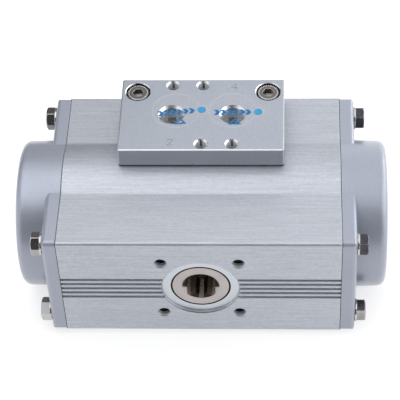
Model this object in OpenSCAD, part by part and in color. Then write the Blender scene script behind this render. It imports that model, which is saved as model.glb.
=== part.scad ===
// Quarter-turn rotary pneumatic actuator: two rack pistons in one bore turn a pinion.
// X runs along the piston bore, Y from the valve face to the accessory face, Z up to the air plate.
// The origin is the centre of the valve face, on the pinion axis.

/* [Housing] */
// Length of the housing along the piston bore
body_l = 108; // [106:1:140]
// Depth from the valve face to the accessory face
body_d = 78; // [76:1:96]
// Height across the flat strips
body_h = 52.6; // [49:0.1:54]
// Diameter of the piston bore
bore_d = 49; // [48:0.5:52]
// Wall between the bore and the round top and bottom
bore_wall = 4.8; // [4:0.1:8]
// Rounding of the long outer edges
body_edge_r = 1.2; // [0.5:0.1:2.5]
// Rounding of the inner corner between the round top and the flat strips
bulge_fillet_r = 4.5; // [2:0.1:8]

/* [Face grooves] */
// Number of grooves along each large face
groove_count = 5; // [1:1:7]
// Distance from groove to groove
groove_pitch = 2.55; // [2:0.05:4]
// Width of a groove
groove_w = 1.4; // [0.8:0.1:1.8]
// Depth of a groove
groove_depth = 0.8; // [0.3:0.1:1.2]

/* [Valve flange] */
// Diameter of the centring recess
recess_d = 30; // [28:0.5:34]
// Depth of the centring recess
recess_depth = 1.3; // [1:0.1:2.5]
// Chamfer of the rim of the centring recess
recess_chamfer = 0.3; // [0.2:0.1:0.6]
// Pitch circle of the flange screw holes
flange_pcd = 42; // [42:1:50]
// Depth of the flange screw holes
flange_hole_depth = 10; // [8:0.5:12]

/* [Accessory face] */
// Spacing of the accessory screw holes along X
accessory_x = 80; // [70:1:84]
// Spacing of the accessory screw holes along Z
accessory_z = 30; // [24:1:32]
// Depth of the accessory screw holes
accessory_hole_depth = 8; // [6:0.5:10]

/* [Air plate] */
// Width of the air plate along X
plate_w = 64.4; // [60:0.1:80]
// Depth of the air plate along Y
plate_d = 38.8; // [38:0.1:42]
// Thickness of the air plate over the round top
plate_t = 8.8; // [8:0.1:14]
// Gap between the air plate and the round top
plate_gap = 0.2; // [0.1:0.1:1]
// Distance from the accessory face to the back of the air plate
plate_inset = 1.85; // [1:0.05:3]
// Rounding of the upright edges of the air plate
plate_edge_r = 1; // [0.4:0.1:2]
// Width of the flat chamfer along the top edges of the air plate
plate_chamfer = 0.5; // [0.2:0.1:1]
// Drop of that chamfer down the sides of the air plate
plate_chamfer_drop = 0.2; // [0.1:0.05:0.8]
// Distance from the round top to the foot of the air plate
foot_gap = 2; // [1:0.1:2.5]
// Thickness of the gasket under the air plate
plate_gasket_t = 0.5; // [0.3:0.1:1]
// Distance between the two air ports
port_spacing = 24; // [22:1:30]
// Core diameter of the port thread
port_d = 8.57; // [8:0.01:10]
// Diameter of the countersunk rim of a port
port_rim_d = 10.4; // [9.2:0.1:11.5]
// Depth of a port
port_depth = 7; // [6:0.1:7.5]
// Distance along Y between the two rows of valve screw holes
valve_row_spacing = 32; // [30:1:33]
// Distance along X between the two holes of a row
valve_hole_step = 12; // [10:1:16]
// Depth of the valve screw holes
valve_hole_depth = 7.5; // [6:0.1:7.8]
// Distance from the sides of the air plate to its own screws
plate_screw_inset = 6.4; // [5.8:0.1:8]
// Distance from the back of the air plate to its own screws
plate_screw_inset_y = 6.9; // [5.8:0.1:7.1]

/* [End caps] */
// Distance from the seam to the end of a cap
cap_l = 17.7; // [15:0.1:30]
// Thickness of the screw ears
ear_t = 5.6; // [5:0.1:9]
// Rounding of the outer edges of the ears
ear_edge_r = 2; // [0.8:0.1:3]
// Thickness of the end wall of a cap
cap_end_wall = 4; // [3:0.1:6]
// Rounding of the end of a cap
cap_end_r = 3.2; // [1:0.1:5]
// Taper of a cap from the seam to its end, on the radius
cap_draft = 0.4; // [0:0.05:0.8]
// Length of the spigot of a cap inside the bore
spigot_l = 2; // [1:0.1:3]
// Wall of the spigot
spigot_wall = 2.4; // [1.8:0.1:4]
// Thickness of a cap gasket
cap_gasket_t = 0.3; // [0.2:0.1:1]
// Distance from the valve face and the accessory face to the cap screws
cap_screw_inset_y = 5.7; // [5.2:0.1:7]
// Distance from the flat strips to the cap screws
cap_screw_inset_z = 6.3; // [5.2:0.05:7]

/* [Fasteners] */
// Diameter of the screws
screw_d = 5; // [4.8:0.1:5.4]
// Drill diameter of the tapped holes
tap_d = 4.2; // [4:0.05:4.5]
// Diameter of the countersunk rim of an open tapped hole
tap_rim_d = 5.4; // [4.8:0.1:6]
// Width across the flats of the cap screw heads
hex_af = 8; // [7.5:0.1:9]
// Height of the cap screw heads
hex_h = 3.5; // [3:0.1:5]
// Diameter of the washers
washer_d = 9; // [8.4:0.1:10]
// Thickness of the washers
washer_t = 0.8; // [0.5:0.1:1.5]
// Length of screw that goes into the housing
screw_grip = 9; // [7:0.5:11]
// Diameter of the socket heads on the air plate
socket_head_d = 8.5; // [8:0.1:9]
// Height of the socket heads
socket_head_h = 5; // [4:0.1:6]
// Chamfer of the top edge of the socket heads
socket_head_chamfer = 0.4; // [0.2:0.1:0.8]
// Width across the flats of the key hole in the socket heads
key_af = 4; // [3:0.1:5]
// Depth of the key hole
key_depth = 2.5; // [1.5:0.1:3]
// Diameter of the counterbores for the socket heads
counterbore_d = 9.6; // [9.2:0.1:11]
// Chamfer of the rim of a counterbore
counterbore_chamfer = 0.3; // [0.1:0.05:0.5]
// Distance from the top of the air plate down to the socket heads
head_sink = 0.5; // [0.2:0.1:2]

/* [Pinion] */
// Gear module
gear_module = 1; // [0.9:0.05:1.05]
// Number of teeth
gear_teeth = 20; // [18:2:20]
// Pressure angle
pressure_angle = 20; // [18:0.5:24]
// Play between the gear and a rack
backlash = 0.14; // [0.1:0.01:0.25]
// Step from the tooth tips up to the front journal, on the diameter
journal_step = 0.3; // [0.2:0.05:1]
// Radial gap around the front journal
journal_gap = 0.5; // [0.35:0.05:0.8]
// Diameter of the back journal
back_journal_d = 16.4; // [15:0.1:17]
// Radial gap around the back journal
back_journal_gap = 0.4; // [0.3:0.05:0.8]
// Diameter of the shaft end on the accessory side
shaft_end_d = 12; // [9:0.5:14]
// Height of the shaft end over the accessory face
shaft_end_h = 20; // [16:0.5:30]
// Chamfer of both ends of the pinion
shaft_chamfer = 0.2; // [0.1:0.1:1]
// Width of the slot across the shaft end
slot_w = 4; // [3:0.1:5]
// Depth of the slot across the shaft end
slot_depth = 4; // [2:0.1:5]
// Drill diameter of the tapped hole in the shaft end
shaft_tap_d = 5; // [4:0.1:6]
// Depth of the tapped hole in the shaft end
shaft_tap_depth = 12; // [8:0.5:15]

/* [Output socket] */
// Width across the flats of each of the two squares of the star
star_af = 11; // [9:0.1:12]
// Diameter over the rounded tips of the star
star_corner_d = 14.3; // [13:0.1:15]
// Depth of the star from the shaft face
star_depth = 9.5; // [8:0.1:12]
// Diameter of the countersunk mouth at the shaft face
mouth_d = 14.6; // [13:0.1:16]
// Depth of the countersunk mouth, which narrows at 45 degrees
mouth_depth = 1.4; // [0.5:0.1:2]
// Diameter of the round relief behind the star
relief_d = 15.8; // [15.6:0.1:17]
// Depth of the whole socket from the shaft face
socket_depth = 14; // [13:0.1:18]

/* [Pistons] */
// Width of a rack along Y
rack_w = 18; // [14:0.5:20]
// Length of the gear past each side of the racks
gear_overhang = 1; // [0.6:0.1:2]
// Length of the teeth of a rack beyond the travel
rack_spare = 6; // [5:0.1:8]
// Land between the guide ring and the inner face of a piston head
head_land = 2.9; // [1.2:0.1:6]
// Gap between a rack tip and the head of the other piston
rack_tip_gap = 0.8; // [0.5:0.1:2]
// Gap between a piston and its cap at the end of the travel
stop_gap = 0.3; // [0.2:0.1:1]
// Gap around the piston heads
piston_gap = 0.3; // [0.2:0.05:0.5]
// Gap between the back of a rack and the bore
rack_back_gap = 0.9; // [0.6:0.1:1.5]
// Diameter of the hollow in the outer face of a piston
hollow_d = 28; // [20:1:34]
// Depth of the hollow in the outer face of a piston
hollow_depth = 4; // [2:0.1:6]
// Length of a rack pad
pad_l = 14; // [8:0.5:18]
// Width of a rack pad
pad_w = 10; // [6:0.5:13]
// Height of a rack pad
pad_h = 2.6; // [2:0.1:3.5]

/* [Seals and bearings] */
// Section of the pinion O-rings
shaft_oring_t = 1.8; // [1.6:0.1:2]
// Section of the piston O-rings
piston_oring_t = 3; // [2.5:0.1:3.4]
// Length of the bearing rings on the pinion
bearing_l = 5; // [4:0.1:5.4]
// Radial thickness of the bearing rings on the pinion
bearing_t = 1.3; // [1:0.1:1.5]
// Length of the guide rings on the pistons
guide_l = 4; // [3:0.1:4.4]
// Radial thickness of the guide rings on the pistons
guide_t = 1.6; // [1.2:0.1:2.2]
// Width of the lands beside the grooves
land_w = 1.5; // [1.2:0.1:1.6]
// Thickness of the thrust washers
thrust_t = 1.5; // [1:0.1:2]
// Depth of the spot face for the inner thrust washer
spot_depth = 1; // [0.6:0.1:2]
// Thickness of the retaining ring
clip_t = 1.2; // [0.8:0.1:1.5]
// Depth of the groove for the retaining ring
clip_groove = 0.7; // [0.4:0.05:0.9]
// Radial width of the retaining ring
clip_w = 2.6; // [1.8:0.1:3]
// Width of the opening of the retaining ring
clip_opening = 5; // [3:0.1:7]

/* [Air passages] */
// Diameter of the upright passages
passage_d = 4; // [3:0.1:4]
// Diameter of the gallery along the housing
gallery_d = 3.5; // [2.5:0.1:3.8]
// Distance from the accessory face to the gallery
gallery_inset_y = 14; // [13.8:0.1:14.5]
// Distance from the flat strip down to the gallery
gallery_inset_z = 8.3; // [7:0.05:9]
// Depth of the channels in the air plate and the caps
channel_depth = 2.5; // [1.5:0.1:3]

/* [Fits] */
// Radial clearance of seals, bearings and pads that slide
slide_fit = 0.05; // [0.03:0.01:0.08]
// Clearance of pieces that sit still in a groove or a hole
seat_fit = 0.05; // [0.03:0.01:0.1]
// Radial clearance of a screw in a plain hole
screw_fit = 0.25; // [0.15:0.05:0.4]
// Axial play of the pinion on each side
axial_play = 0.1; // [0.05:0.05:0.3]

/* [Hidden] */
$fn = 128;
// Reach of a cutter past the face that it cuts
cut = 1;
// Depth to which one solid of a piece is sunk into another
sink = 0.4;
// Straight steps in a quarter of a rounded edge, and along a tooth flank
arc_steps = 6;
flank_steps = 5;
// Angle through which the pinion turns
quarter_turn = 90;
// Root clearance of the teeth, as a share of the gear module
root_clearance = 0.25;
// Angle at which the rounding under the round top meets the surfaces beside it
fillet_lead = 5;
// Room beside an O-ring in its groove
oring_room = 0.5;
// Slope and width of the chamfer on a hexagon head
hex_chamfer_angle = 30;
hex_chamfer_w = 0.2;
// Turn of each cap screw head: front low, front high, back low, back high
left_head_turns = [53, 48, 20, 40];
right_head_turns = [18, 18, 35, 18];

// Colours
cast_colour = [0.77, 0.79, 0.83];
cap_colour = [0.66, 0.68, 0.74];
steel_colour = [0.72, 0.72, 0.74];
shaft_colour = [0.80, 0.75, 0.73];
plate_colour = [0.72, 0.75, 0.79];
piston_colour = [0.82, 0.82, 0.80];
rubber_colour = [0.12, 0.12, 0.13];
plastic_colour = [0.88, 0.86, 0.78];

// Housing
axis_y = body_d / 2;
bore_r = bore_d / 2;
bulge_r = bore_r + bore_wall;
strip_z = body_h / 2;
bulge_edge_y = sqrt(max(0, pow(bulge_r, 2) - pow(strip_z, 2)));
flange_step = flange_pcd / 2 / sqrt(2);

// Air plate
plate_y1 = body_d - plate_inset;
plate_y0 = plate_y1 - plate_d;
foot_z = strip_z + plate_gasket_t;
plate_under_z = max(bulge_r, foot_z) + plate_gap;
plate_top_z = plate_under_z + plate_t;
foot_y0 = axis_y + bulge_edge_y + foot_gap;
port_x = port_spacing / 2;
port_y = (plate_y0 + plate_y1) / 2;
plate_screw_x = plate_w / 2 - plate_screw_inset;
plate_screw_y = plate_y1 - plate_screw_inset_y;
head_seat_z = plate_top_z - head_sink - socket_head_h;
passage_y = foot_y0 + land_w + passage_d / 2;
gallery_y = body_d - gallery_inset_y;
gallery_z = strip_z - gallery_inset_z;

// Caps and screws
seam_x = body_l / 2 + cap_gasket_t;
cap_screw_z = strip_z - cap_screw_inset_z;
spigot_r = bore_r - 2 * seat_fit;
cavity_r = spigot_r - spigot_wall;
screw_hole_d = screw_d + 2 * screw_fit;
thread_d = tap_d - 2 * seat_fit;
tapped_depth = screw_grip + cut;

// Gear
pitch_r = gear_module * gear_teeth / 2;
base_r = pitch_r * cos(pressure_angle);
tip_r = pitch_r + gear_module;
root_r = pitch_r - (1 + root_clearance) * gear_module;
tooth_half_w = (PI * gear_module - backlash) / 4;
rack_pitch = PI * gear_module;
rack_tip_z = pitch_r - gear_module;
rack_root_z = pitch_r + (1 + root_clearance) * gear_module;
stroke = pitch_r * quarter_turn * PI / 180;

// Pinion, with places along Y
journal_r = tip_r + journal_step / 2;
front_bore_r = journal_r + journal_gap;
back_journal_r = back_journal_d / 2;
back_bore_r = back_journal_r + back_journal_gap;
gear_l = rack_w + 2 * gear_overhang;
shaft_face_y = recess_depth;
oring_groove_w = shaft_oring_t + oring_room;
bearing_groove_w = bearing_l + 2 * seat_fit;
spot_y = axis_y + bore_r + spot_depth;
front_land = (axis_y - bore_r - shaft_face_y - oring_groove_w - bearing_groove_w) / 3;
back_land = (body_d - spot_y - oring_groove_w - bearing_groove_w) / 3;
front_oring_y = shaft_face_y + front_land + oring_groove_w / 2;
front_bearing_y = axis_y - bore_r - front_land - bearing_groove_w / 2;
collar_end_y = spot_y - thrust_t - axial_play;
back_bearing_y = spot_y + back_land + bearing_groove_w / 2;
back_oring_y = body_d - back_land - oring_groove_w / 2;
clip_y = body_d + thrust_t + axial_play;
back_journal_end_y = clip_y + clip_t + land_w;
shaft_end_y = body_d + shaft_end_h;

// Pistons, with places along X for the one on the right
piston_r = bore_r - piston_gap;
rack_back_r = bore_r - rack_back_gap;
head_out_x = body_l / 2 - spigot_l - stop_gap - stroke;
piston_oring_groove_w = piston_oring_t + oring_room;
guide_groove_w = guide_l + 2 * seat_fit;
piston_oring_x = head_out_x - land_w - piston_oring_groove_w / 2;
guide_x = piston_oring_x - piston_oring_groove_w / 2 - land_w - guide_groove_w / 2;
head_in_x = guide_x - guide_groove_w / 2 - head_land;
rack_tip_x = rack_tip_gap - head_in_x;
first_tooth_x = max(rack_tip_x, -(stroke + rack_spare));
pad_x = rack_tip_x + land_w;
pad_floor_z = bore_r - pad_h;

// Points of an arc from angle a0 to angle a1
function arc_points(x, y, r, a0, a1) =
    [for (i = [0:arc_steps]) let (a = a0 + (a1 - a0) * i / arc_steps) [x + r * cos(a), y + r * sin(a)]];

// Involute function of an angle, in radians
function involute(a) = tan(a) - a * PI / 180;

// Half of the angle that a gear tooth spans at radius r
function tooth_half_angle(r) =
    (tooth_half_w / pitch_r + involute(pressure_angle) - involute(acos(min(1, base_r / r)))) * 180 / PI;

function polar(r, a) = [r * cos(a), r * sin(a)];

// Outline of one gear tooth centred on angle a
function tooth_points(a) =
    let (
        foot_a = tooth_half_angle(base_r),
        radii = [for (i = [0:flank_steps]) base_r + (tip_r - base_r) * i / flank_steps]
    )
    concat(
        [polar(root_r, a - foot_a)],
        [for (r = radii) polar(r, a - tooth_half_angle(r))],
        [for (i = [flank_steps:-1:0]) polar(radii[i], a + tooth_half_angle(radii[i]))],
        [polar(root_r, a + foot_a)]
    );

// Rectangle with its middle at the origin and round corners
module rounded_rect(w, h, r) {
    polygon(concat(
        arc_points(w / 2 - r, h / 2 - r, r, 0, 90),
        arc_points(r - w / 2, h / 2 - r, r, 90, 180),
        arc_points(r - w / 2, r - h / 2, r, 180, 270),
        arc_points(w / 2 - r, r - h / 2, r, 270, 360)
    ));
}

// Extrudes a (Y, Z) outline along X, from x = 0
module along_x(l) {
    rotate([90, 0, 90]) linear_extrude(l) children();
}

// Turns a shape made along Z so that it runs along Y
module along_y() {
    rotate([-90, 0, 0]) children();
}

// Turns a shape made along Z so that it runs along X
module facing_x() {
    rotate([0, 90, 0]) children();
}

// Round bar along X from x
module x_bar(x, l, r) {
    translate([x, 0, 0]) facing_x() cylinder(h = l, r = r);
}

// Round bar along X on the bore axis
module bore_bar(x, l, r) {
    translate([0, axis_y, 0]) x_bar(x, l, r);
}

// Round bar along Y on the pinion axis
module shaft_bar(y, l, r) {
    translate([0, y, 0]) along_y() cylinder(h = l, r = r);
}

// Ring of rectangular section around Z, centred on z = 0
module square_ring(r_in, r_out, l) {
    rotate_extrude() translate([r_in, -l / 2]) square([r_out - r_in, l]);
}

// Ring of round section around Z, centred on z = 0
module round_ring(r_out, t) {
    rotate_extrude() translate([r_out - t / 2, 0]) circle(d = t);
}

// Mirrors its children to the left side
module on_side(side) {
    if (side < 0) {
        mirror([1, 0, 0]) children();
    } else {
        children();
    }
}

// Turns the right-hand piston's pieces about the pinion axis to the left
module piston_side(side) {
    rotate([0, side < 0 ? 180 : 0, 0]) children();
}

// Round bar along Z from z = 0 with its top edge chamfered
module chamfered_bar(h, r, c) {
    cylinder(h = h - c, r = r);
    translate([0, 0, h - c]) cylinder(h = c, r1 = r, r2 = r - c);
}

// Hole with a countersunk rim, which opens upward at z = 0
module rimmed_hole(d, rim_d, depth) {
    translate([0, 0, -depth]) cylinder(h = depth + cut, d = d);
    rim_depth = (rim_d - d) / 2;
    translate([0, 0, -rim_depth]) cylinder(h = rim_depth + cut, d1 = d, d2 = rim_d + 2 * cut);
}

// Tapped hole under one of the actuator's own screws, which opens upward at z = 0
module closed_hole() {
    translate([0, 0, -tapped_depth]) cylinder(h = tapped_depth + cut, d = tap_d);
}

// Places its children at the four screws of a cap
module at_cap_screws() {
    for (i = [0, 1], j = [0, 1]) {
        $screw = 2 * i + j;
        y = [cap_screw_inset_y, body_d - cap_screw_inset_y][i];
        z = [-cap_screw_z, cap_screw_z][j];
        translate([0, y, z]) facing_x() children();
    }
}

// Places its children at the two screws of the air plate
module at_plate_screws() {
    for (x = [-plate_screw_x, plate_screw_x]) {
        translate([x, plate_screw_y, 0]) children();
    }
}

// Fills the inner corners between the round top and the two flat strips beside it
module bulge_fillets() {
    mid_z = strip_z + bulge_fillet_r;
    mid_y = sqrt(pow(bulge_r + bulge_fillet_r, 2) - pow(mid_z, 2));
    end_a = 180 + atan2(mid_z, mid_y);
    lead = min(fillet_lead, (270 - end_a) / 5);
    right = arc_points(mid_y, mid_z, bulge_fillet_r, 270 - lead, end_a + lead);
    left = [for (i = [arc_steps:-1:0]) [-right[i][0], right[i][1]]];
    polygon(concat([[-mid_y, strip_z - sink], [mid_y, strip_z - sink]], right, left));
}

// Outline of the housing across the bore, with the bore axis at the origin
module body_outline() {
    rounded_rect(body_d, body_h, body_edge_r);
    circle(r = bulge_r);
    for (a = [0, 180]) {
        rotate(a) bulge_fillets();
    }
}

// Grooves along one large face, cut from y = 0
module face_grooves() {
    for (i = [0:groove_count - 1]) {
        z = (i - (groove_count - 1) / 2) * groove_pitch;
        translate([-body_l / 2 - cut, -cut, z - groove_w / 2]) {
            cube([body_l + 2 * cut, cut + groove_depth, groove_w]);
        }
    }
}

// Recess, screw holes and front bore on the valve face
module valve_face_holes() {
    rotate([90, 0, 0]) rimmed_hole(recess_d, recess_d + 2 * recess_chamfer, recess_depth);
    shaft_bar(0, axis_y, front_bore_r);
    for (x = [-flange_step, flange_step], z = [-flange_step, flange_step]) {
        translate([x, 0, z]) rotate([90, 0, 0]) rimmed_hole(tap_d, tap_rim_d, flange_hole_depth);
    }
}

// Back bore, spot face and screw holes on the accessory face
module accessory_face_holes() {
    shaft_bar(axis_y, axis_y + cut, back_bore_r);
    shaft_bar(axis_y, spot_y - axis_y, front_bore_r);
    for (x = [-accessory_x / 2, accessory_x / 2], z = [-accessory_z / 2, accessory_z / 2]) {
        translate([x, body_d, z]) rotate([-90, 0, 0]) rimmed_hole(tap_d, tap_rim_d, accessory_hole_depth);
    }
}

// Passages from the air plate to the middle chamber and to the gallery
module housing_passages() {
    translate([-port_x, passage_y, 0]) cylinder(h = strip_z + cut, d = passage_d);
    translate([port_x, gallery_y, gallery_z]) cylinder(h = strip_z - gallery_z + cut, d = passage_d);
    translate([0, gallery_y, gallery_z]) x_bar(-body_l / 2 - cut, body_l + 2 * cut, gallery_d / 2);
}

module housing() {
    color(cast_colour) difference() {
        translate([-body_l / 2, axis_y, 0]) along_x(body_l) body_outline();
        bore_bar(-body_l / 2 - cut, body_l + 2 * cut, bore_r);
        face_grooves();
        translate([0, body_d, 0]) mirror([0, 1, 0]) face_grooves();
        valve_face_holes();
        accessory_face_holes();
        housing_passages();
        for (side = [-1, 1]) {
            on_side(side) translate([body_l / 2, 0, 0]) at_cap_screws() closed_hole();
        }
        translate([0, 0, strip_z]) at_plate_screws() closed_hole();
    }
}

// Ears of a cap, with their outer edges rounded
module cap_ears() {
    translate([0, axis_y, 0]) intersection() {
        along_x(ear_t) rounded_rect(body_d, body_h, ear_edge_r);
        linear_extrude(2 * body_h, center = true) rounded_rect(2 * ear_t, body_d, ear_edge_r);
        along_y() linear_extrude(2 * body_d, center = true) rounded_rect(2 * ear_t, body_h, ear_edge_r);
    }
}

// Round cup of a cap, as the outline of half its section turned about the bore axis
module cap_cup() {
    end_r = bulge_r - cap_draft;
    translate([0, axis_y, 0]) facing_x() rotate_extrude() {
        polygon(concat(
            [[0, 0], [bulge_r, 0]],
            arc_points(end_r - cap_end_r, cap_l - cap_end_r, cap_end_r, 0, 90),
            [[0, cap_l]]
        ));
    }
}

// Channel in the seam face that leads from the gallery to the inside of the cap
module cap_channel() {
    reach = norm([gallery_y - axis_y, gallery_z]);
    lean = atan2(gallery_z, gallery_y - axis_y);
    translate([-cut, axis_y, 0]) rotate([lean, 0, 0]) {
        translate([0, cavity_r - cut, -gallery_d / 2]) {
            cube([channel_depth + cut, reach - cavity_r + cut, gallery_d]);
        }
        translate([0, reach, 0]) x_bar(0, channel_depth + cut, gallery_d / 2);
    }
}

module end_cap(side) {
    tip_x = -spigot_l - cap_gasket_t;
    color(cap_colour) on_side(side) translate([seam_x, 0, 0]) difference() {
        union() {
            cap_ears();
            cap_cup();
            bore_bar(tip_x, sink - tip_x, spigot_r);
        }
        bore_bar(tip_x - cut, cap_l - cap_end_wall - tip_x + cut, cavity_r);
        translate([-cut, 0, 0]) at_cap_screws() cylinder(h = ear_t + 2 * cut, d = screw_hole_d);
        cap_channel();
    }
}

module cap_gasket(side) {
    color(rubber_colour) on_side(side) translate([body_l / 2, 0, 0]) difference() {
        translate([0, axis_y, 0]) along_x(cap_gasket_t) body_outline();
        bore_bar(-cut, cap_gasket_t + 2 * cut, bore_r);
        translate([-cut, 0, 0]) at_cap_screws() cylinder(h = cap_gasket_t + 2 * cut, d = screw_hole_d);
        translate([0, gallery_y, gallery_z]) x_bar(-cut, cap_gasket_t + 2 * cut, gallery_d / 2);
    }
}

// Hexagon screw along Z, with its head standing on z = 0
module hex_screw(clamp) {
    top_d = hex_af - 2 * hex_chamfer_w;
    intersection() {
        cylinder(h = hex_h, d = hex_af / cos(30), $fn = 6);
        cylinder(h = hex_h, d1 = top_d + 2 * hex_h / tan(hex_chamfer_angle), d2 = top_d);
    }
    translate([0, 0, -clamp]) cylinder(h = clamp + sink, d = screw_d);
    translate([0, 0, -clamp - screw_grip]) cylinder(h = screw_grip + sink, d = thread_d);
}

module cap_screws(side) {
    turns = side < 0 ? left_head_turns : right_head_turns;
    color(steel_colour) on_side(side) translate([seam_x + ear_t + washer_t, 0, 0]) at_cap_screws() {
        rotate(-turns[$screw]) hex_screw(ear_t + washer_t + cap_gasket_t);
    }
}

module cap_washers(side) {
    color(steel_colour) on_side(side) translate([seam_x + ear_t, 0, 0]) at_cap_screws() {
        difference() {
            cylinder(h = washer_t, d = washer_d);
            translate([0, 0, -cut]) cylinder(h = washer_t + 2 * cut, d = screw_hole_d);
        }
    }
}

// Outline of the air plate from above, from y0 to its back edge
module plate_outline(y0) {
    translate([0, (y0 + plate_y1) / 2]) rounded_rect(plate_w, plate_y1 - y0, plate_edge_r);
}

// Section of the slab of the air plate with its two top edges chamfered
module slab_section(w) {
    half = w / 2;
    polygon([
        [-half, 0], [half, 0], [half, plate_t - plate_chamfer_drop], [half - plate_chamfer, plate_t],
        [plate_chamfer - half, plate_t], [-half, plate_t - plate_chamfer_drop]
    ]);
}

// Slab of the air plate over the round top
module plate_slab() {
    intersection() {
        translate([0, 0, plate_under_z]) linear_extrude(plate_t) plate_outline(plate_y0);
        translate([-plate_w / 2, port_y, plate_under_z]) along_x(plate_w) slab_section(plate_d);
        translate([0, plate_y1, plate_under_z]) rotate([90, 0, 0]) {
            linear_extrude(plate_d) slab_section(plate_w);
        }
    }
}

// Channel under the foot that leads port 4 back to the gallery
module plate_channel(h) {
    translate([port_x, passage_y, 0]) cylinder(h = h, d = passage_d);
    translate([port_x, gallery_y, 0]) cylinder(h = h, d = passage_d);
    translate([port_x - passage_d / 2, passage_y, 0]) cube([passage_d, gallery_y - passage_y, h]);
}

// Screw holes for a control valve: two rows, each offset to its own side
module valve_holes() {
    for (row = [-1, 1], i = [0, 1]) {
        translate([-row * valve_hole_step * i, port_y + row * valve_row_spacing / 2, plate_top_z]) {
            rimmed_hole(tap_d, tap_rim_d, valve_hole_depth);
        }
    }
}

module air_plate() {
    floor_h = plate_top_z - port_depth - foot_z;
    color(plate_colour) difference() {
        union() {
            plate_slab();
            translate([0, 0, foot_z]) linear_extrude(plate_under_z - foot_z + sink) plate_outline(foot_y0);
        }
        for (x = [-port_x, port_x]) {
            translate([x, port_y, plate_top_z]) rimmed_hole(port_d, port_rim_d, port_depth);
            translate([x, 0, foot_z - cut]) {
                translate([0, passage_y, 0]) cylinder(h = floor_h + 2 * cut, d = passage_d);
                translate([-passage_d / 2, port_y, floor_h + cut]) {
                    cube([passage_d, abs(passage_y - port_y), cut]);
                }
            }
        }
        translate([0, 0, foot_z - cut]) plate_channel(channel_depth + cut);
        valve_holes();
        at_plate_screws() {
            translate([0, 0, plate_top_z]) {
                rimmed_hole(counterbore_d, counterbore_d + 2 * counterbore_chamfer, plate_top_z - head_seat_z);
            }
            translate([0, 0, foot_z - cut]) cylinder(h = plate_top_z - foot_z, d = screw_hole_d);
        }
    }
}

module air_plate_gasket() {
    color(rubber_colour) translate([0, 0, strip_z]) difference() {
        linear_extrude(plate_gasket_t) plate_outline(foot_y0);
        translate([-port_x, passage_y, -cut]) cylinder(h = plate_gasket_t + 2 * cut, d = passage_d);
        translate([0, 0, -cut]) plate_channel(plate_gasket_t + 2 * cut);
        at_plate_screws() translate([0, 0, -cut]) cylinder(h = plate_gasket_t + 2 * cut, d = screw_hole_d);
    }
}

module air_plate_screws() {
    color(steel_colour) at_plate_screws() difference() {
        union() {
            translate([0, 0, head_seat_z]) {
                chamfered_bar(socket_head_h, socket_head_d / 2, socket_head_chamfer);
            }
            translate([0, 0, strip_z]) cylinder(h = head_seat_z - strip_z + sink, d = screw_d);
            translate([0, 0, strip_z - screw_grip]) cylinder(h = screw_grip + sink, d = thread_d);
        }
        translate([0, 0, head_seat_z + socket_head_h - key_depth]) {
            cylinder(h = key_depth + cut, d = key_af / cos(30), $fn = 6);
        }
    }
}

// Star of two squares from z = 0 to h, with its tips cut round
module star_hole(h) {
    intersection() {
        linear_extrude(h) {
            for (a = [0, 45]) {
                rotate(a) square(star_af, center = true);
            }
        }
        cylinder(h = h, d = star_corner_d);
    }
}

// Output socket, cut from the shaft face
module output_socket() {
    translate([0, shaft_face_y - cut, 0]) along_y() {
        cylinder(h = cut + mouth_depth, d1 = mouth_d + 2 * cut, d2 = mouth_d - 2 * mouth_depth);
    }
    translate([0, shaft_face_y - cut, 0]) along_y() star_hole(cut + star_depth);
    shaft_bar(shaft_face_y + star_depth, socket_depth - star_depth, relief_d / 2);
}

// Toothed part of the pinion, with tooth spaces straight above and below the axis
module gear() {
    teeth = [for (i = [0:gear_teeth - 1]) each tooth_points((i + 0.5) * 360 / gear_teeth)];
    translate([0, axis_y, 0]) along_y() linear_extrude(gear_l + 2 * sink, center = true) polygon(teeth);
}

// Groove of the pinion at y for a ring of radial thickness t in a bore of radius bore
module shaft_groove(y, bore, t, w) {
    translate([0, y, 0]) along_y() square_ring(bore - slide_fit - t - seat_fit, bore, w);
}

// Grooves of the pinion for its O-rings, bearing rings and retaining ring
module shaft_grooves() {
    shaft_groove(front_oring_y, front_bore_r, shaft_oring_t, oring_groove_w);
    shaft_groove(front_bearing_y, front_bore_r, bearing_t, bearing_groove_w);
    shaft_groove(back_bearing_y, back_bore_r, bearing_t, bearing_groove_w);
    shaft_groove(back_oring_y, back_bore_r, shaft_oring_t, oring_groove_w);
    translate([0, clip_y + clip_t / 2, 0]) along_y() {
        square_ring(back_journal_r - clip_groove - seat_fit, back_bore_r, clip_t + 2 * seat_fit);
    }
}

module pinion_shaft() {
    color(shaft_colour) difference() {
        union() {
            translate([0, axis_y - gear_l / 2, 0]) rotate([90, 0, 0]) {
                chamfered_bar(axis_y - gear_l / 2 - shaft_face_y, journal_r, shaft_chamfer);
            }
            gear();
            shaft_bar(axis_y + gear_l / 2, collar_end_y - axis_y - gear_l / 2, journal_r);
            shaft_bar(collar_end_y - sink, back_journal_end_y - collar_end_y + sink, back_journal_r);
            translate([0, back_journal_end_y - sink, 0]) along_y() {
                chamfered_bar(shaft_end_y - back_journal_end_y + sink, shaft_end_d / 2, shaft_chamfer);
            }
        }
        output_socket();
        shaft_grooves();
        translate([-shaft_end_d, shaft_end_y - slot_depth, -slot_w / 2]) {
            cube([2 * shaft_end_d, slot_depth + cut, slot_w]);
        }
        shaft_bar(shaft_end_y - shaft_tap_depth, shaft_tap_depth + cut, shaft_tap_d / 2);
    }
}

// Bearing ring of the pinion at y, in a bore of radius bore
module bearing_ring(y, bore) {
    r = bore - slide_fit;
    color(plastic_colour) translate([0, y, 0]) along_y() square_ring(r - bearing_t, r, bearing_l);
}

// O-ring of the pinion at y, in a bore of radius bore
module shaft_oring(y, bore) {
    color(rubber_colour) translate([0, y, 0]) along_y() round_ring(bore - slide_fit, shaft_oring_t);
}

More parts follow.
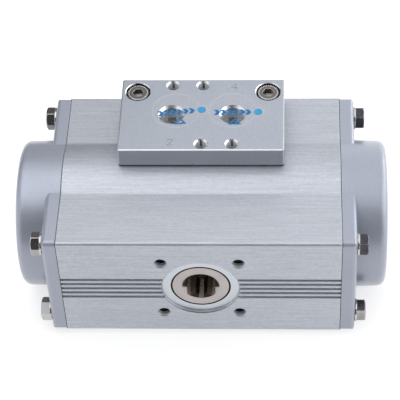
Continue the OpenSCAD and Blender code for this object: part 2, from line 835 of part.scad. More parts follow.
module thrust_washer(y) {
    color(plastic_colour) translate([0, y + thrust_t / 2, 0]) along_y() {
        square_ring(back_bore_r, journal_r, thrust_t);
    }
}

module retaining_ring() {
    color(steel_colour) translate([0, clip_y + clip_t / 2, 0]) along_y() difference() {
        square_ring(back_journal_r - clip_groove, back_journal_r - clip_groove + clip_w, clip_t);
        translate([0, -clip_opening / 2, -clip_t]) cube([back_bore_r + clip_w, clip_opening, 2 * clip_t]);
    }
}

// Teeth of the rack over the pinion, with one tooth centred on x = 0
module rack_teeth() {
    slope = tan(pressure_angle);
    tip_half = tooth_half_w - gear_module * slope;
    base_z = rack_root_z + sink;
    base_half = tooth_half_w + (base_z - pitch_r) * slope;
    first = ceil((first_tooth_x + base_half) / rack_pitch);
    last = floor((stroke - base_half) / rack_pitch);
    rotate([90, 0, 0]) linear_extrude(rack_w, center = true) {
        for (i = [first:last]) {
            translate([i * rack_pitch, 0]) polygon([
                [-tip_half, rack_tip_z], [tip_half, rack_tip_z], [base_half, base_z], [-base_half, base_z]
            ]);
        }
    }
}

// Bar of the rack, cut round at its back to pass along the bore
module rack_bar() {
    intersection() {
        translate([rack_tip_x, -rack_w / 2, rack_root_z]) {
            cube([head_in_x - rack_tip_x + sink, rack_w, bore_r - rack_root_z]);
        }
        x_bar(rack_tip_x - cut, head_in_x - rack_tip_x + 2 * cut, rack_back_r);
    }
}

// Pocket and body of a rack pad share this block, grown by a clearance
module pad_block(clearance) {
    translate([pad_x - clearance, -pad_w / 2 - clearance, pad_floor_z]) {
        cube([pad_l + 2 * clearance, pad_w + 2 * clearance, pad_h + cut]);
    }
}

// Groove of a piston head at x for a ring of radial thickness t
module piston_groove(x, t, w) {
    translate([x, 0, 0]) facing_x() square_ring(bore_r - slide_fit - t - seat_fit, bore_r, w);
}

module piston(side) {
    color(piston_colour) translate([0, axis_y, 0]) piston_side(side) difference() {
        union() {
            x_bar(head_in_x, head_out_x - head_in_x, piston_r);
            rack_bar();
            rack_teeth();
        }
        x_bar(head_out_x - hollow_depth, hollow_depth + cut, hollow_d / 2);
        piston_groove(piston_oring_x, piston_oring_t, piston_oring_groove_w);
        piston_groove(guide_x, guide_t, guide_groove_w);
        pad_block(seat_fit);
    }
}

module piston_oring(side) {
    color(rubber_colour) translate([0, axis_y, 0]) piston_side(side) translate([piston_oring_x, 0, 0]) {
        facing_x() round_ring(bore_r - slide_fit, piston_oring_t);
    }
}

module guide_ring(side) {
    r = bore_r - slide_fit;
    color(plastic_colour) translate([0, axis_y, 0]) piston_side(side) translate([guide_x, 0, 0]) {
        facing_x() square_ring(r - guide_t, r, guide_l);
    }
}

module rack_pad(side) {
    color(plastic_colour) translate([0, axis_y, 0]) piston_side(side) intersection() {
        pad_block(0);
        x_bar(pad_x - cut, pad_l + 2 * cut, bore_r - slide_fit);
    }
}

housing();
end_cap(-1);  // left_end_cap
end_cap(1);  // right_end_cap
cap_gasket(-1);  // left_cap_gasket
cap_gasket(1);  // right_cap_gasket
cap_screws(-1);  // left_cap_screws
cap_screws(1);  // right_cap_screws
cap_washers(-1);  // left_cap_washers
cap_washers(1);  // right_cap_washers
air_plate();
air_plate_gasket();
air_plate_screws();
pinion_shaft();
bearing_ring(front_bearing_y, front_bore_r);  // front_bearing_ring
shaft_oring(front_oring_y, front_bore_r);  // front_shaft_oring
bearing_ring(back_bearing_y, back_bore_r);  // back_bearing_ring
shaft_oring(back_oring_y, back_bore_r);  // back_shaft_oring
thrust_washer(spot_y - thrust_t);  // inner_thrust_washer
thrust_washer(body_d);  // outer_thrust_washer
retaining_ring();
piston(-1);  // left_piston
piston(1);  // right_piston
piston_oring(-1);  // left_piston_oring
piston_oring(1);  // right_piston_oring
guide_ring(-1);  // left_guide_ring
guide_ring(1);  // right_guide_ring
rack_pad(-1);  // left_rack_pad
rack_pad(1);  // right_rack_pad
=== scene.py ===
import bpy
import bmesh
import math
from mathutils import Matrix, Vector


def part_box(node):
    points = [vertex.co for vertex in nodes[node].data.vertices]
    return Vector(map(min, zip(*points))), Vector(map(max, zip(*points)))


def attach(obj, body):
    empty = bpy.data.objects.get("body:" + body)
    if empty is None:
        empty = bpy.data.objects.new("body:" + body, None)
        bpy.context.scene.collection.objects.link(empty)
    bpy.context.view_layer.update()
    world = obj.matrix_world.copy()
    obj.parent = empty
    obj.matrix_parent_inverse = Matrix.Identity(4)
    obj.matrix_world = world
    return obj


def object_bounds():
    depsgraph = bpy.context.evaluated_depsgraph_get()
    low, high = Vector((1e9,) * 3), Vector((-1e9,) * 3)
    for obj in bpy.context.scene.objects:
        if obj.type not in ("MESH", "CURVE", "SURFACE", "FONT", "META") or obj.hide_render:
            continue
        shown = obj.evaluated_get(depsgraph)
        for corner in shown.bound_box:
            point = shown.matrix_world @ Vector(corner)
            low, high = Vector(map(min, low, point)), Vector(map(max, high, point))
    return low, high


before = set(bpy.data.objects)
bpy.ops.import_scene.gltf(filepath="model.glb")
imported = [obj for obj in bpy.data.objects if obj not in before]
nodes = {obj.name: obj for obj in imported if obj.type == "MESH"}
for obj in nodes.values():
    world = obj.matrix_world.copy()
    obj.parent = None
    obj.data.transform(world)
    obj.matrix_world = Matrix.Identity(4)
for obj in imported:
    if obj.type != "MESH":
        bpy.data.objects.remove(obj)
cadLow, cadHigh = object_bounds()
mm = 0.001
boreY, backY = 39, 78  # middle of the bore and back face, from the valve face
print("frame loaded:", len(nodes), "nodes")


# node helpers

def addNode(tree, kind, name=None, **values):
    node = tree.nodes.new(kind)
    if name:
        node.name = node.label = name
    for key, value in values.items():
        setattr(node, key, value)
    return node


def join(tree, source, target):
    tree.links.new(source, target)


def fill(tree, socket, value):
    if isinstance(value, tuple):
        socket.default_value = (*value, 1)
    elif isinstance(value, (int, float)):
        socket.default_value = value
    elif value is not None:
        join(tree, value, socket)


def mathNode(tree, operation, first, second=None, clamp=False):
    node = addNode(tree, "ShaderNodeMath", operation=operation, use_clamp=clamp)
    fill(tree, node.inputs[0], first)
    fill(tree, node.inputs[1], second)
    return node.outputs[0]


def remap(tree, value, low, high, toLow=0, toHigh=1):
    node = addNode(tree, "ShaderNodeMapRange")
    node.inputs["From Min"].default_value = low
    node.inputs["From Max"].default_value = high
    node.inputs["To Min"].default_value = toLow
    node.inputs["To Max"].default_value = toHigh
    join(tree, value, node.inputs["Value"])
    return node.outputs["Result"]


def mixColour(tree, factor, first, second):
    node = addNode(tree, "ShaderNodeMix", data_type="RGBA")
    for index, value in ((0, factor), (6, first), (7, second)):  # 6 and 7 are the two colours
        fill(tree, node.inputs[index], value)
    return node.outputs[2]


def noiseNode(tree, vector, scale, detail=2, rough=0.5):
    node = addNode(tree, "ShaderNodeTexNoise")
    join(tree, vector, node.inputs["Vector"])
    for label, value in (("Scale", scale), ("Detail", detail), ("Roughness", rough)):
        fill(tree, node.inputs[label], value)
    return node.outputs["Fac"]


def startGroup(name, inputs, outputs):
    tree = bpy.data.node_groups.new(name, "ShaderNodeTree")
    for label, kind, value in inputs:
        socket = tree.interface.new_socket(label, in_out="INPUT", socket_type="NodeSocket" + kind)
        if value is not None:
            socket.default_value = value
    for label, kind in outputs:
        tree.interface.new_socket(label, in_out="OUTPUT", socket_type="NodeSocket" + kind)
    return tree, addNode(tree, "NodeGroupInput"), addNode(tree, "NodeGroupOutput")


def useGroup(tree, group, vector=None, **values):
    node = addNode(tree, "ShaderNodeGroup", node_tree=group, name=group.name)
    if vector is not None:
        join(tree, vector, node.inputs["Vector"])
    for key, value in values.items():
        node.inputs[key].default_value = value
    return node


# shared effects

noiseRange = (0.3, 0.7)  # where most of a noise lies
offGrid = 0.37  # keeps flat faces off the noise grid
streakParts = {  # along and across count against the group's own values
    "fine": {"along": 1.0, "across": 1.0, "detail": 2, "rough": 0.6, "share": 0.39},
    "middle": {"along": 8.0, "across": 0.7, "detail": 3, "rough": 0.7, "share": 0.34},
    "short": {"along": 28.0, "across": 0.6, "detail": 2, "rough": 0.6, "share": 0.23},
    "wide": {"along": 0.5, "across": 0.25, "detail": 2, "rough": 0.6, "share": 0.04},
}


def makeBrushedLines():
    tree, enter, leave = startGroup(
        "brushedLines",
        [
            ("Vector", "Vector", None), ("Along", "Float", 40.0),
            ("Across", "Float", 2400.0), ("Wander", "Float", 90.0),
        ],
        [("Height", "Float"), ("Streak", "Float"), ("Cloud", "Float")],
    )
    split = addNode(tree, "ShaderNodeSeparateXYZ")
    join(tree, enter.outputs["Vector"], split.inputs[0])
    streak = 0
    for name, part in streakParts.items():
        along = mathNode(tree, "MULTIPLY", enter.outputs["Along"], part["along"])
        across = mathNode(tree, "MULTIPLY", enter.outputs["Across"], part["across"])
        spread = addNode(tree, "ShaderNodeCombineXYZ")
        for axis, scale in zip("XYZ", (along, across, across)):
            place = mathNode(tree, "MULTIPLY", split.outputs[axis], scale)
            join(tree, mathNode(tree, "ADD", place, offGrid), spread.inputs[axis])
        lines = noiseNode(tree, spread.outputs[0], 1, part["detail"], part["rough"])
        streak = mathNode(tree, "ADD", streak, mathNode(tree, "MULTIPLY", lines, part["share"]))
        if name == "fine":
            join(tree, lines, leave.inputs["Height"])
    join(tree, streak, leave.inputs["Streak"])
    cloud = noiseNode(tree, enter.outputs["Vector"], enter.outputs["Wander"], 3)
    join(tree, cloud, leave.inputs["Cloud"])
    return tree


castPits = {"scale": 0.8, "depth": 0.5}  # against the grain


def makeCastGrain():
    tree, enter, leave = startGroup(
        "castGrain",
        [("Vector", "Vector", None), ("Grain", "Float", 1800.0), ("Blotch", "Float", 60.0)],
        [("Height", "Float"), ("Speck", "Float"), ("Blotch", "Float")],
    )
    grain = noiseNode(tree, enter.outputs["Vector"], enter.outputs["Grain"], 3, 0.7)
    blotch = noiseNode(tree, enter.outputs["Vector"], enter.outputs["Blotch"], 4)
    cells = addNode(tree, "ShaderNodeTexVoronoi", feature="F1")
    join(tree, enter.outputs["Vector"], cells.inputs["Vector"])
    join(tree, mathNode(tree, "MULTIPLY", enter.outputs["Grain"], castPits["scale"]), cells.inputs["Scale"])
    pits = mathNode(tree, "MULTIPLY", cells.outputs["Distance"], castPits["depth"])
    join(tree, mathNode(tree, "ADD", grain, pits), leave.inputs["Height"])
    join(tree, remap(tree, grain, *noiseRange), leave.inputs["Speck"])
    join(tree, remap(tree, blotch, *noiseRange), leave.inputs["Blotch"])
    return tree


def makeTurnedRings():
    tree, enter, leave = startGroup(
        "turnedRings",
        [("Vector", "Vector", None), ("Pitch", "Float", 5000.0)],
        [("Height", "Float"), ("Ring", "Float")],
    )
    split = addNode(tree, "ShaderNodeSeparateXYZ")
    join(tree, enter.outputs["Vector"], split.inputs[0])
    squares = [mathNode(tree, "POWER", split.outputs[axis], 2) for axis in "XZ"]
    radius = mathNode(tree, "SQRT", mathNode(tree, "ADD", *squares))
    noise = addNode(tree, "ShaderNodeTexNoise", noise_dimensions="1D")
    noise.inputs["Scale"].default_value = 1
    noise.inputs["Detail"].default_value = 3
    join(tree, mathNode(tree, "MULTIPLY", radius, enter.outputs["Pitch"]), noise.inputs["W"])
    join(tree, noise.outputs["Fac"], leave.inputs["Height"])
    join(tree, remap(tree, noise.outputs["Fac"], *noiseRange), leave.inputs["Ring"])
    return tree


edgeSamples = 6  # rays for the edge and crevice masks


def makeSoftEdge():
    tree, enter, leave = startGroup(
        "softEdge",
        [("Radius", "Float", 0.0003), ("Gain", "Float", 3.0)],
        [("Mask", "Float"), ("Normal", "Vector")],
    )
    bevel = addNode(tree, "ShaderNodeBevel", samples=edgeSamples)
    join(tree, enter.outputs["Radius"], bevel.inputs["Radius"])
    flat = addNode(tree, "ShaderNodeNewGeometry")
    dot = addNode(tree, "ShaderNodeVectorMath", operation="DOT_PRODUCT")
    join(tree, bevel.outputs[0], dot.inputs[0])
    join(tree, flat.outputs["Normal"], dot.inputs[1])
    lost = mathNode(tree, "SUBTRACT", 1.0, dot.outputs["Value"])
    join(tree, mathNode(tree, "MULTIPLY", lost, enter.outputs["Gain"], clamp=True), leave.inputs["Mask"])
    join(tree, bevel.outputs[0], leave.inputs["Normal"])
    return tree


def makeCreviceShade():
    tree, enter, leave = startGroup(
        "creviceShade",
        [("Reach", "Float", 0.0006), ("Gain", "Float", 1.2)],
        [("Mask", "Float")],
    )
    shade = addNode(tree, "ShaderNodeAmbientOcclusion", samples=edgeSamples, only_local=True)
    join(tree, enter.outputs["Reach"], shade.inputs["Distance"])
    closed = mathNode(tree, "SUBTRACT", 1.0, shade.outputs["AO"])
    join(tree, mathNode(tree, "MULTIPLY", closed, enter.outputs["Gain"], clamp=True), leave.inputs["Mask"])
    return tree


nickOutline = {"scale": 2500, "sway": 2.0}  # makes their outlines uneven


def makeTinyNicks():
    tree, enter, leave = startGroup(
        "tinyNicks",
        [
            ("Vector", "Vector", None), ("Spacing", "Float", 110.0),
            ("Size", "Float", 0.03), ("Share", "Float", 0.2),
        ],
        [("Mask", "Float")],
    )
    bend = noiseNode(tree, enter.outputs["Vector"], nickOutline["scale"])
    cells = addNode(tree, "ShaderNodeTexVoronoi", feature="F1")
    join(tree, enter.outputs["Vector"], cells.inputs["Vector"])
    join(tree, enter.outputs["Spacing"], cells.inputs["Scale"])
    split = addNode(tree, "ShaderNodeSeparateColor")
    join(tree, cells.outputs["Color"], split.inputs[0])
    picked = mathNode(tree, "LESS_THAN", split.outputs["Red"], enter.outputs["Share"])
    sway = mathNode(tree, "MULTIPLY", bend, nickOutline["sway"])
    reach = mathNode(tree, "MULTIPLY", enter.outputs["Size"], sway)
    spot = mathNode(tree, "LESS_THAN", cells.outputs["Distance"], reach)
    join(tree, mathNode(tree, "MULTIPLY", picked, spot), leave.inputs["Mask"])
    return tree


brushedLines = makeBrushedLines()
castGrain = makeCastGrain()
turnedRings = makeTurnedRings()
softEdge = makeSoftEdge()
creviceShade = makeCreviceShade()
tinyNicks = makeTinyNicks()
print("effects made")


# materials

def emptyTree(owner, kind):
    owner.use_nodes = True
    tree = owner.node_tree
    tree.nodes.clear()
    return tree, addNode(tree, kind)


def startMaterial(name):
    material = bpy.data.materials.new(name)
    tree, output = emptyTree(material, "ShaderNodeOutputMaterial")
    shader = addNode(tree, "ShaderNodeBsdfPrincipled")
    join(tree, shader.outputs[0], output.inputs["Surface"])
    place = addNode(tree, "ShaderNodeTexCoord")
    return material, tree, shader, place.outputs["Object"]


def addBump(tree, shader, height, strength, distance, base=None):
    bump = addNode(tree, "ShaderNodeBump")
    bump.inputs["Strength"].default_value = strength
    bump.inputs["Distance"].default_value = distance
    join(tree, height, bump.inputs["Height"])
    if base is not None:
        join(tree, base, bump.inputs["Normal"])
    join(tree, bump.outputs[0], shader.inputs["Normal"])


# soft band across one axis, for painted shade deeper in holes and a painted contact shadow along the plate's
# foot
def bandMask(tree, place, axis, middle, inner, outer):
    split = addNode(tree, "ShaderNodeSeparateXYZ")
    join(tree, place, split.inputs[0])
    away = mathNode(tree, "ABSOLUTE", mathNode(tree, "SUBTRACT", split.outputs[axis], middle))
    return remap(tree, away, inner, outer, 1, 0)


rimGuard = 4.0  # keeps the painted highlight on rims out of the corners


# colour, edge wear with a painted highlight, painted shade in crevices and bands, nicks and bump for metal,
# paint, rubber and plastic
def dressSurface(tree, shader, place, finish, pattern, cloud, rough, height):
    edge = useGroup(tree, softEdge, Radius=finish["edge"], Gain=finish["edgeGain"])
    crevice = useGroup(tree, creviceShade, Reach=finish["reach"], Gain=finish["creviceGain"])
    nicks = useGroup(tree, tinyNicks, place, Share=finish["nicks"])
    colour = mixColour(tree, pattern, finish["dark"], finish["light"])
    colour = mixColour(tree, mathNode(tree, "MULTIPLY", cloud, finish["cloud"]), colour, finish["tint"])
    corner = mathNode(tree, "MULTIPLY", crevice.outputs["Mask"], rimGuard, clamp=True)
    rim = mathNode(tree, "MULTIPLY", edge.outputs["Mask"], mathNode(tree, "SUBTRACT", 1.0, corner))
    # edges lighter: wear with a painted highlight
    colour = mixColour(tree, rim, colour, finish["bright"])
    # painted shade in crevices
    colour = mixColour(tree, crevice.outputs["Mask"], colour, finish["deep"])
    colour = mixColour(tree, nicks.outputs["Mask"], colour, finish["deep"])
    # painted shade in a band
    if "band" in finish:
        colour = mixColour(tree, bandMask(tree, place, *finish["band"]), colour, finish["soot"])
    join(tree, colour, shader.inputs["Base Color"])
    join(tree, rough, shader.inputs["Roughness"])
    shader.inputs["Metallic"].default_value = finish["metal"]
    shader.inputs["Coat Weight"].default_value = finish["coat"]
    shader.inputs["Coat Roughness"].default_value = finish["coatRough"]
    addBump(tree, shader, height, finish["bump"], finish["depth"], edge.outputs["Normal"])


streakRange, streakRoughRange = (0.40, 0.60), (0.36, 0.64)


def brushedMetal(name, finish):
    material, tree, shader, place = startMaterial(name)
    lines = useGroup(
        tree, brushedLines, place, Along=finish["along"], Across=finish["across"], Wander=finish["wander"],
    ).outputs
    streaks = remap(tree, lines["Streak"], *streakRange)
    rough = remap(tree, lines["Streak"], *streakRoughRange, *finish["rough"])
    dressSurface(tree, shader, place, finish, streaks, lines["Cloud"], rough, lines["Height"])
    return material


def grainMetal(name, finish):
    material, tree, shader, place = startMaterial(name)
    grain = useGroup(tree, castGrain, place, Grain=finish["grain"], Blotch=finish["blotch"]).outputs
    rough = remap(tree, grain["Blotch"], 0, 1, *finish["rough"])
    dressSurface(tree, shader, place, finish, grain["Speck"], grain["Blotch"], rough, grain["Height"])
    return material


def turnedMetal(name, finish):
    material, tree, shader, place = startMaterial(name)
    rings = useGroup(tree, turnedRings, place, Pitch=finish["pitch"]).outputs
    grain = useGroup(tree, castGrain, place, Grain=finish["grain"], Blotch=finish["blotch"]).outputs
    rough = remap(tree, grain["Speck"], 0, 1, *finish["rough"])
    dressSurface(tree, shader, place, finish, rings["Ring"], grain["Blotch"], rough, rings["Height"])
    return material


# shared settings: lighter edges are wear with a painted highlight, darker crevices are painted shade
edgeWearAndSheen = {
    "edge": 0.25 * mm, "edgeGain": 2.0, "reach": 0.6 * mm, "creviceGain": 1.0, "nicks": 0.0,
    "bump": 0.25, "depth": 0.03 * mm, "metal": 1.0, "coat": 0.0, "coatRough": 0.25,
}
housingFinish = dict(
    edgeWearAndSheen, dark=(0.40, 0.425, 0.475), light=(0.595, 0.62, 0.68), tint=(0.49, 0.515, 0.57),
    bright=(0.80, 0.82, 0.86), deep=(0.28, 0.29, 0.32), along=55, across=4600, wander=35, cloud=0.3,
    rough=(0.50, 0.54), edge=0.35 * mm, bump=0.04, creviceGain=0.3,
)
# groove faces in a lighter copy of the housing's colour: painted light
grooveFinish = dict(
    housingFinish, dark=(0.54, 0.56, 0.60), light=(0.68, 0.70, 0.74), tint=(0.60, 0.62, 0.66),
    edge=0.15 * mm, creviceGain=0.0,
)
plateFinish = dict(
    edgeWearAndSheen, dark=(0.37, 0.40, 0.46), light=(0.50, 0.53, 0.595), tint=(0.42, 0.45, 0.51),
    bright=(0.72, 0.74, 0.78), deep=(0.16, 0.16, 0.18), grain=2200, blotch=90, cloud=0.35,
    rough=(0.42, 0.52), nicks=0.3,
)
# plate sides in a lighter copy of the plate's colour: painted light; the dark band along the foot is a painted
# contact shadow
plateSideFinish = dict(
    plateFinish, dark=(0.48, 0.505, 0.56), light=(0.61, 0.635, 0.70), tint=(0.53, 0.555, 0.615),
    metal=0.75, nicks=0.0, band=("Z", 29.65 * mm, 0.15 * mm, 0.6 * mm), soot=(0.06, 0.06, 0.065),
)
# chamfer faces lighter: painted highlight
plateEdgeFinish = dict(
    plateFinish, dark=(0.56, 0.58, 0.62), light=(0.64, 0.66, 0.70), tint=(0.60, 0.62, 0.66),
    rough=(0.3, 0.4), nicks=0.0,
)
capFinish = dict(
    edgeWearAndSheen, dark=(0.325, 0.355, 0.435), light=(0.425, 0.455, 0.545), tint=(0.355, 0.38, 0.465),
    bright=(0.66, 0.70, 0.78), deep=(0.13, 0.135, 0.16), grain=2200, blotch=55, cloud=0.4,
    rough=(0.36, 0.46), metal=0.42, coat=0.7, edge=0.4 * mm, depth=0.04 * mm, nicks=0.03,
)
boltFinish = dict(
    edgeWearAndSheen, dark=(0.32, 0.31, 0.31), light=(0.44, 0.43, 0.43), tint=(0.24, 0.23, 0.225),
    bright=(0.82, 0.81, 0.80), deep=(0.02, 0.02, 0.02), grain=1600, blotch=260, cloud=0.7,
    rough=(0.12, 0.25), edge=0.45 * mm, edgeGain=4.0, bump=0.12, depth=0.02 * mm,
)
# much darker copy of the bolt steel: painted shade
shadedBoltFinish = dict(
    boltFinish, dark=(0.055, 0.056, 0.066), light=(0.105, 0.106, 0.122), tint=(0.04, 0.04, 0.048),
    bright=(0.60, 0.60, 0.62),
)
washerFinish = dict(
    boltFinish, dark=(0.45, 0.445, 0.44), light=(0.60, 0.595, 0.59), tint=(0.38, 0.37, 0.365), cloud=0.4,
)
headFinish = dict(
    washerFinish, dark=(0.13, 0.125, 0.12), light=(0.22, 0.21, 0.205), tint=(0.18, 0.17, 0.165),
    cloud=0.6, rough=(0.15, 0.28),
)
shaftFinish = dict(
    edgeWearAndSheen, dark=(0.44, 0.40, 0.39), light=(0.55, 0.505, 0.495), tint=(0.58, 0.545, 0.54),
    bright=(0.72, 0.69, 0.68), deep=(0.16, 0.14, 0.13), pitch=4200, grain=1500, blotch=160, cloud=0.6,
    rough=(0.38, 0.55), metal=0.85, edge=0.2 * mm, bump=0.12,
)
recessFinish = dict(
    edgeWearAndSheen, dark=(0.535, 0.565, 0.61), light=(0.63, 0.66, 0.705), tint=(0.575, 0.605, 0.65),
    bright=(0.78, 0.80, 0.82), deep=(0.08, 0.085, 0.10), pitch=5200, grain=1800, blotch=120, cloud=0.3,
    rough=(0.32, 0.45), edge=0.08 * mm, bump=0.15, depth=0.02 * mm, reach=0.25 * mm, creviceGain=1.6,
)
# recess wall in a lighter copy: painted light
recessWallLightFinish = dict(
    recessFinish, dark=(0.84, 0.86, 0.89), light=(0.91, 0.93, 0.96), tint=(0.87, 0.89, 0.92),
    bright=(0.92, 0.94, 0.96),
)
# recess chamfer in a darker copy: painted shade
recessEdgeShadeFinish = dict(
    recessFinish, dark=(0.26, 0.275, 0.31), light=(0.36, 0.375, 0.41), tint=(0.30, 0.315, 0.35),
    bright=(0.40, 0.415, 0.45),
)
# band: painted shade deeper in the plate's holes
boredFinish = dict(
    edgeWearAndSheen, dark=(0.78, 0.79, 0.81), light=(0.88, 0.89, 0.91), tint=(0.80, 0.81, 0.84),
    bright=(0.92, 0.93, 0.94), deep=(0.20, 0.20, 0.21), grain=2400, blotch=300, cloud=0.3,
    rough=(0.22, 0.30), edge=0.05 * mm, bump=0.02, depth=0.01 * mm, creviceGain=0.2,
    band=("Z", 31 * mm, 1.8 * mm, 4.6 * mm), soot=(0.62, 0.64, 0.68),
)
threadFinish = dict(
    boredFinish, dark=(0.66, 0.675, 0.71), light=(0.71, 0.725, 0.76), tint=(0.64, 0.655, 0.69),
    bright=(0.78, 0.79, 0.81), rough=(0.40, 0.50), metal=0.5,
)
# bore colour with less shine for hole flanks; on the socket heads' keyway floors it is a painted glint
flankFinish = dict(boredFinish, rough=(0.40, 0.50), metal=0.35, soot=(0.74, 0.76, 0.80))
# dark stripe down hole walls: painted reflection
holeDarkReflectionFinish = dict(
    boredFinish, dark=(0.20, 0.205, 0.225), light=(0.28, 0.285, 0.305), tint=(0.22, 0.225, 0.245),
    bright=(0.4, 0.41, 0.43), metal=0.6, soot=(0.15, 0.155, 0.175),
)
# band: painted shade deeper in tapped holes
tappedFinish = dict(
    boredFinish, dark=(0.42, 0.425, 0.44), light=(0.56, 0.565, 0.58), tint=(0.48, 0.485, 0.50),
    bright=(0.66, 0.67, 0.69), deep=(0.05, 0.05, 0.05), rough=(0.25, 0.38), metal=0.4,
    band=("Y", boreY * mm, 36.8 * mm, 37.6 * mm), soot=(0.012, 0.013, 0.016),
)
socketFinish = dict(
    edgeWearAndSheen, dark=(0.22, 0.17, 0.14), light=(0.42, 0.335, 0.28), tint=(0.30, 0.235, 0.195),
    bright=(0.75, 0.64, 0.56), deep=(0.06, 0.05, 0.04), grain=1500, blotch=300, cloud=0.5,
    rough=(0.22, 0.34), metal=0.7, edge=0.15 * mm, bump=0.15, depth=0.04 * mm, reach=0.25 * mm,
    creviceGain=0.6,
)
# darker copy of the socket's colour: painted shade
socketShadeFinish = dict(
    socketFinish, dark=(0.03, 0.024, 0.02), light=(0.08, 0.064, 0.055), tint=(0.05, 0.04, 0.034),
    bright=(0.20, 0.17, 0.15),
)
# lighter copy of the socket's colour: painted highlight
socketTipHighlightFinish = dict(
    socketFinish, dark=(0.80, 0.70, 0.62), light=(0.90, 0.80, 0.72), tint=(0.85, 0.75, 0.67),
    bright=(0.92, 0.84, 0.76), creviceGain=0.0,
)
# darker copy of the socket's colour: painted shade in the mouth
mouthShadeFinish = dict(
    socketFinish, dark=(0.05, 0.045, 0.04), light=(0.10, 0.085, 0.075), tint=(0.07, 0.06, 0.055),
    bright=(0.16, 0.14, 0.13), deep=(0.02, 0.018, 0.015),
)
pistonFinish = dict(
    plateFinish, dark=(0.56, 0.56, 0.545), light=(0.66, 0.66, 0.64), tint=(0.60, 0.60, 0.58),
)
rubberFinish = dict(
    edgeWearAndSheen, dark=(0.012, 0.012, 0.013), light=(0.03, 0.03, 0.032), tint=(0.02, 0.02, 0.022),
    bright=(0.05, 0.05, 0.052), deep=(0.006, 0.006, 0.006), grain=2400, blotch=200, cloud=0.4,
    rough=(0.55, 0.75), metal=0.0, edge=0.15 * mm,
)
gasketFinish = dict(
    rubberFinish, dark=(0.085, 0.09, 0.10), light=(0.13, 0.135, 0.15), tint=(0.105, 0.11, 0.122),
    bright=(0.16, 0.165, 0.18),
)
bearingFinish = dict(
    edgeWearAndSheen, dark=(0.62, 0.59, 0.48), light=(0.72, 0.69, 0.58), tint=(0.66, 0.62, 0.50),
    bright=(0.80, 0.77, 0.67), deep=(0.30, 0.28, 0.22), grain=1800, blotch=150, cloud=0.4,
    rough=(0.40, 0.55), metal=0.0, edge=0.15 * mm, bump=0.15,
)

housingBrushed = brushedMetal("housingBrushed", housingFinish)
grooveBright = brushedMetal("grooveBright", grooveFinish)
plateBlasted = grainMetal("plateBlasted", plateFinish)
plateEdgeHighlight = grainMetal("plateEdgeHighlight", plateEdgeFinish)
plateSide = grainMetal("plateSide", plateSideFinish)
capPaint = grainMetal("capPaint", capFinish)
boltSteel = grainMetal("boltSteel", boltFinish)
shadedBoltSteel = grainMetal("shadedBoltSteel", shadedBoltFinish)
washerSteel = grainMetal("washerSteel", washerFinish)
headSteel = grainMetal("headSteel", headFinish)
shaftTurned = turnedMetal("shaftTurned", shaftFinish)
recessTurned = turnedMetal("recessTurned", recessFinish)
recessWallLight = turnedMetal("recessWallLight", recessWallLightFinish)
recessEdgeShade = turnedMetal("recessEdgeShade", recessEdgeShadeFinish)
boredBright = grainMetal("boredBright", boredFinish)
threadDull = grainMetal("threadDull", threadFinish)
flankBrightAndKeyGlint = grainMetal("flankBrightAndKeyGlint", flankFinish)
holeDarkReflection = grainMetal("holeDarkReflection", holeDarkReflectionFinish)
tappedGrey = grainMetal("tappedGrey", tappedFinish)
socketOiled = grainMetal("socketOiled", socketFinish)
socketShade = grainMetal("socketShade", socketShadeFinish)
socketTipHighlight = grainMetal("socketTipHighlight", socketTipHighlightFinish)
mouthShade = grainMetal("mouthShade", mouthShadeFinish)
pistonCast = grainMetal("pistonCast", pistonFinish)
sealRubberAndGapShade = grainMetal("sealRubberAndGapShade", rubberFinish)
gasketSheet = grainMetal("gasketSheet", gasketFinish)
bearingPlastic = grainMetal("bearingPlastic", bearingFinish)
print("materials made")


# finishes on the frame's own nodes, face by face where a node needs more than one

nodeFinish = {
    "housing": [housingBrushed, recessTurned, tappedGrey, sealRubberAndGapShade, grooveBright, recessWallLight, recessEdgeShade],
    "left_cap_screws": [boltSteel, washerSteel, threadDull],
    "right_cap_screws": [boltSteel, shadedBoltSteel],
    "air_plate": [plateBlasted, boredBright, plateEdgeHighlight, plateSide, shadedBoltSteel, flankBrightAndKeyGlint, holeDarkReflection],
    "air_plate_gasket": [gasketSheet],
    "air_plate_screws": [headSteel, flankBrightAndKeyGlint, socketOiled, socketShade],
    "pinion_shaft": [shaftTurned, socketOiled, sealRubberAndGapShade, mouthShade, socketShade, socketTipHighlight],
    "retaining_ring": [boltSteel],
    "front_bearing_ring": [bearingPlastic], "back_bearing_ring": [bearingPlastic],
    "inner_thrust_washer": [bearingPlastic], "outer_thrust_washer": [bearingPlastic],
    "front_shaft_oring": [sealRubberAndGapShade], "back_shaft_oring": [sealRubberAndGapShade],
}
pairFinish = {
    "end_cap": capPaint, "cap_gasket": gasketSheet, "cap_washers": washerSteel, "piston": pistonCast,
    "piston_oring": sealRubberAndGapShade, "guide_ring": bearingPlastic, "rack_pad": bearingPlastic,
}
for sideName in ("left", "right"):
    for pieceName, finish in pairFinish.items():
        nodeFinish[sideName + "_" + pieceName] = [finish]

plateLow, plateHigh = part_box("air_plate")
plateTop = plateHigh.z
portY = (plateLow.y + plateHigh.y) / 2
screwLow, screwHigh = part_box("air_plate_screws")
headTop = screwHigh.z
headRadius = 4.25
headX = screwHigh.x - headRadius * mm
headY = (screwLow.y + screwHigh.y) / 2
holeHalf = {"flange": (14.849, 14.849), "accessory": (40, 15)}  # half the spacing each way
portX, valveRow = 12 * mm, 16 * mm
faceHoles = {
    kind: [(x * u * mm, z * v * mm) for x in (-1, 1) for z in (-1, 1)] for kind, (u, v) in holeHalf.items()
}
faceHoles["valve"] = [
    (-portX, portY + valveRow), (0, portY + valveRow), (0, portY - valveRow), (portX, portY - valveRow),
]
faceHoles["port"] = [(-portX, portY), (portX, portY)]
faceHoles["counterbore"] = [(-headX, headY), (headX, headY)]

